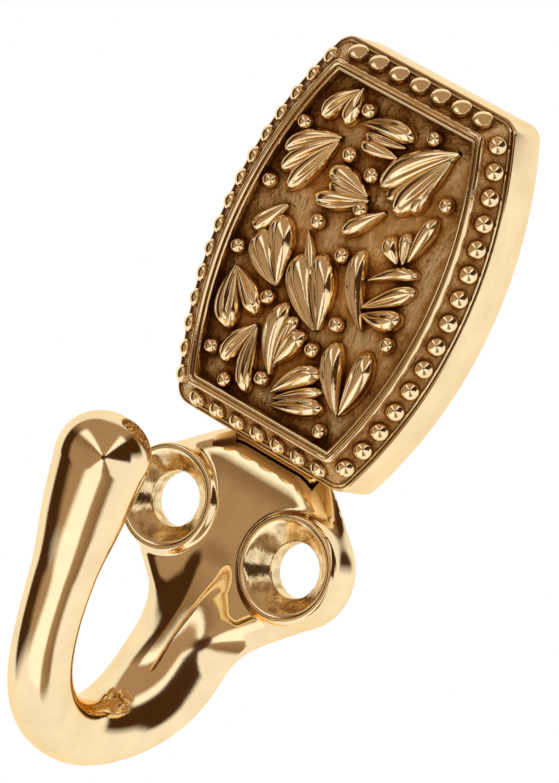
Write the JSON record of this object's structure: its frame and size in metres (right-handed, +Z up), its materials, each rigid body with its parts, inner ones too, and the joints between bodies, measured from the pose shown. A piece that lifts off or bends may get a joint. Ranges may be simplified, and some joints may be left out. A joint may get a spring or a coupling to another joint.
{
  "type": "wall hook",
  "caption": "Gold-plated wall hook: a J-shaped arm with a rounded end rises from a countersunk base plate, below a bowed ornament with a beaded border and a panel of leaves.",
  "frame": {"origin": "on the wall plane, midway between the screw holes", "axes": "+X to the right seen from the front, +Y into the wall, +Z up"},
  "size_m": [0.029, 0.0337, 0.0716],
  "materials": {
    "hook_gold": "polished, gold plated",
    "plaque_gold": "polished, gold plated, with brown patina in the recesses",
    "screw_steel": "plain"
  },
  "bodies": {
    "root": {"hook": "hook_gold", "plaque": "plaque_gold", "fixing_screw": "screw_steel"}
  },
  "joints": []
}
